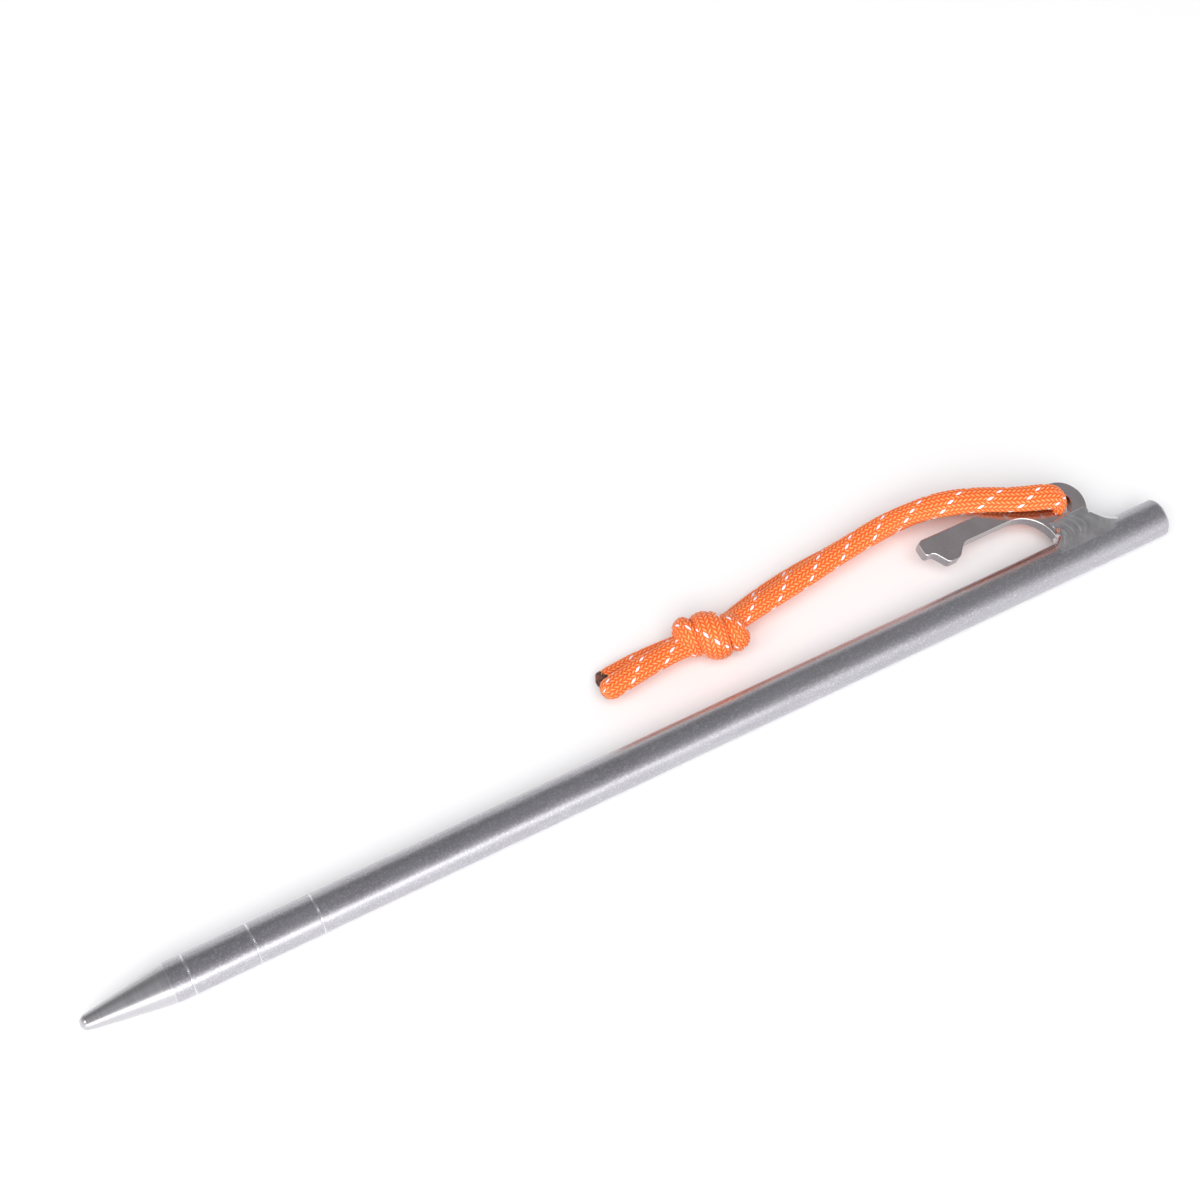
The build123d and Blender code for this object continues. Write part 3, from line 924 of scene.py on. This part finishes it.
def softbox(name, direction, distance, size, power, in_metal=True):
    """A rectangular light facing the stake from that direction; in_metal says whether reflections show it."""
    data = bpy.data.lights.new(name, "AREA")
    data.shape, data.size, data.size_y = "RECTANGLE", size[0], size[1]
    data.energy = power
    light = bpy.data.objects.new(name, data)
    light.visible_glossy = in_metal
    away = Vector(direction).normalized()
    light.location = away * distance
    light.rotation_mode = "QUATERNION"
    light.rotation_quaternion = away.to_track_quat("Z", "Y")
    bpy.context.scene.collection.objects.link(light)


def floor():
    """A plain pale floor."""
    bpy.ops.mesh.primitive_plane_add(size=FLOOR_SIZE, location=(0, 0, 0))
    plane = bpy.context.object
    plane.name = "floor"
    made, tree, shader = material("floor")
    where, _ = object_place(tree)
    shade = noise(tree, where, 40.0, 2.0)
    feed(tree, shader, "Base Color", mix(tree, shade, (0.94, 0.94, 0.945), (0.96, 0.96, 0.96)))
    shader.inputs["Roughness"].default_value = 0.9
    shader.inputs["Specular IOR Level"].default_value = 0.1
    plane.data.materials.append(made)


def surroundings():
    """A studio room: bright round the horizon, grey overhead and dimmer behind the stake."""
    world = bpy.data.worlds.new("studio")
    world.use_nodes = True
    tree = world.node_tree
    back = tree.nodes["Background"]
    coordinates = tree.nodes.new("ShaderNodeTexCoord")
    apart = tree.nodes.new("ShaderNodeSeparateXYZ")
    feed(tree, apart, 0, coordinates.outputs["Generated"])
    ramp = tree.nodes.new("ShaderNodeValToRGB")
    feed(tree, ramp, 0, apart.outputs[2])
    ramp.color_ramp.elements[0].position = 0.10
    ramp.color_ramp.elements[0].color = (1.0, 1.0, 1.0, 1)
    ramp.color_ramp.elements[1].position = 0.85
    ramp.color_ramp.elements[1].color = (0.32, 0.32, 0.335, 1)
    link(tree, ramp.outputs[0], back.inputs[0])
    feed(tree, back, "Strength", spread(tree, apart.outputs[1], 0.15, 0.75, 1.0, 0.55))
    bpy.context.scene.world = world
    bpy.context.scene.view_settings.view_transform = "Standard"


def paint(piece, made):
    """Gives a piece its one material."""
    piece.data.materials.clear()
    piece.data.materials.append(made)


def put(piece, made, slot, body, *stands_for):
    """Paints a piece, names its body and replaces the CAD nodes that it stands for; the slot is not used."""
    paint(piece, made)
    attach(piece, body)
    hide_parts(*stands_for)


# ======================= the scene =======================
camera()
floor()
surroundings()
softbox("front_softbox", (-0.3, -0.94, 0.27), 1.0, (1.2, 0.40), 3.3)
softbox("back_softbox", (0.2, 0.90, 0.30), 1.1, (1.4, 0.30), 0.7)
softbox("top_softbox", (-0.25, -0.5, 0.85), 1.5, (1.3, 1.3), 20.0, in_metal=False)
softbox("point_softbox", (-0.70, -0.15, 0.70), 1.2, (0.34, 0.34), 1.5)

cord_finish = orange_cord()
upper, upper_line = braided("upper_cord", UPPER_LEG + wrap_points() + FRONT_TAIL, 0.0)
lower, lower_line = braided("lower_cord", LOWER_LEG + LOWER_CORE + BACK_TAIL, 2.0)
front_end = melted_bead("front_melted_end", upper_line, 1.1, (0.80, 0.80))
back_end = melted_bead("back_melted_end", lower_line, 1.7, (0.97, 0.97))
put(upper, cord_finish, "orange_cord", "pull_cord", "cord_upper_leg", "cord_knot", "cord_front_tail")
put(lower, cord_finish, "orange_cord", "pull_cord", "cord_lower_leg", "cord_back_tail")
melted_front = melted_cord("melted_orange", *MELTED_ORANGE)
melted_back = melted_cord("melted_burnt", *MELTED_BURNT)
put(front_end, melted_front, "melted_cord", "pull_cord", "front_sealed_end")
put(back_end, melted_back, "melted_cord", "pull_cord", "back_sealed_end")

put(turned_shaft(), blasted_titanium(), "blasted_titanium", "stake", "shaft")
weld_nodes = ("weld_upper", "weld_lower", "weld_heel", "weld_throat")
put(weld_bead(), ground_weld(), "ground_weld", "stake", *weld_nodes)
put(cut_plate(), plate_titanium(), "plate_titanium", "stake", "hook_plate")
